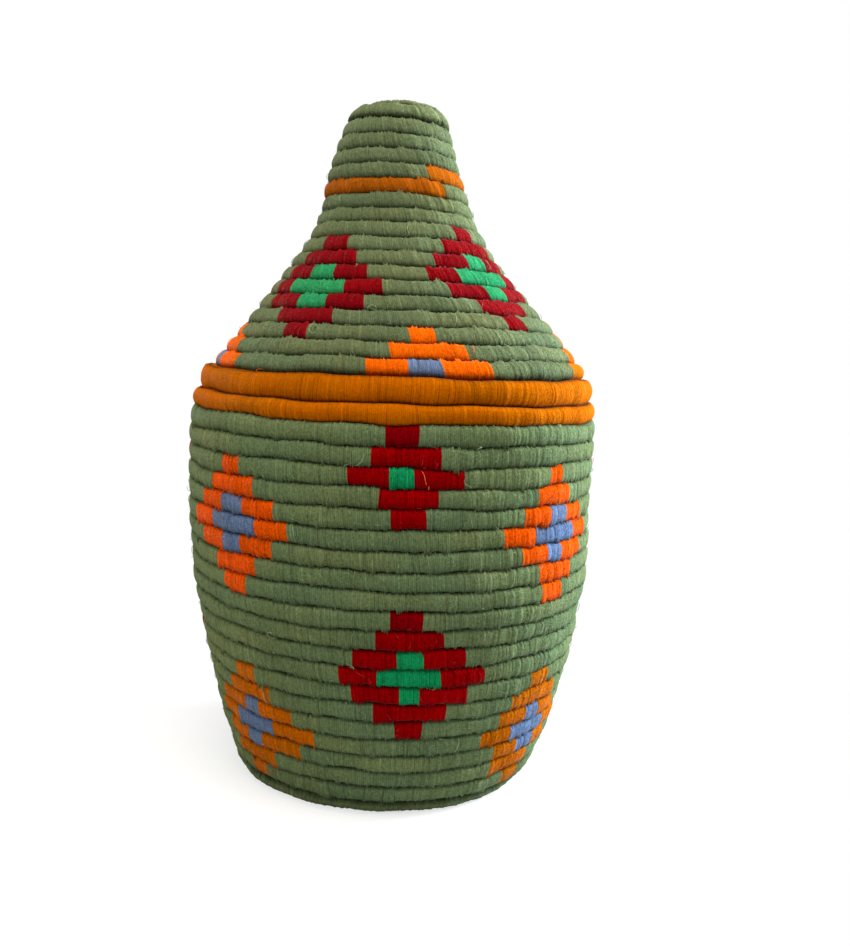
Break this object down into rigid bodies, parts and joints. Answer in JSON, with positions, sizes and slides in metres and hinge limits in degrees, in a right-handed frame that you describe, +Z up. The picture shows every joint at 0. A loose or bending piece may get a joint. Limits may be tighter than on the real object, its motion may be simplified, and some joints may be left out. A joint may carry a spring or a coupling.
{
  "type": "lidded coiled storage basket",
  "caption": "Round coiled fibre basket wrapped in dyed yarn, with a swelling wall, a flat base and a peaked cone lid with a narrow neck that lifts off.",
  "frame": {"origin": "middle of the base, on the floor", "axes": "+Z up along the axis of the basket, -Y towards the front that the picture shows, +X to its right"},
  "size_m": [0.2481, 0.2482, 0.4059],
  "materials": {
    "sage_yarn": "matt sage green wool wrapped round a fibre core, with stepped diamonds in other yarns",
    "ochre_yarn": "matt ochre wool wrapped round a fibre core"
  },
  "bodies": {
    "basket": {"base_coil": "sage_yarn", "lower_wall_coil": "sage_yarn", "middle_wall_coil": "sage_yarn", "upper_wall_coil": "sage_yarn", "mouth_coil": "ochre_yarn"},
    "lid": {"lid_rim_coil": "ochre_yarn", "lid_locating_coil": "sage_yarn", "lid_cone_coil": "sage_yarn", "lid_shoulder_coil": "sage_yarn", "lid_neck_band_coil": "ochre_yarn", "lid_neck_coil": "sage_yarn", "lid_crown_coil": "sage_yarn"}
  },
  "joints": [
    {"name": "lid_lift", "type": "slide", "parent": "basket", "child": "lid", "axis": [0, 0, 1], "range_m": [0, 0.2]}
  ]
}
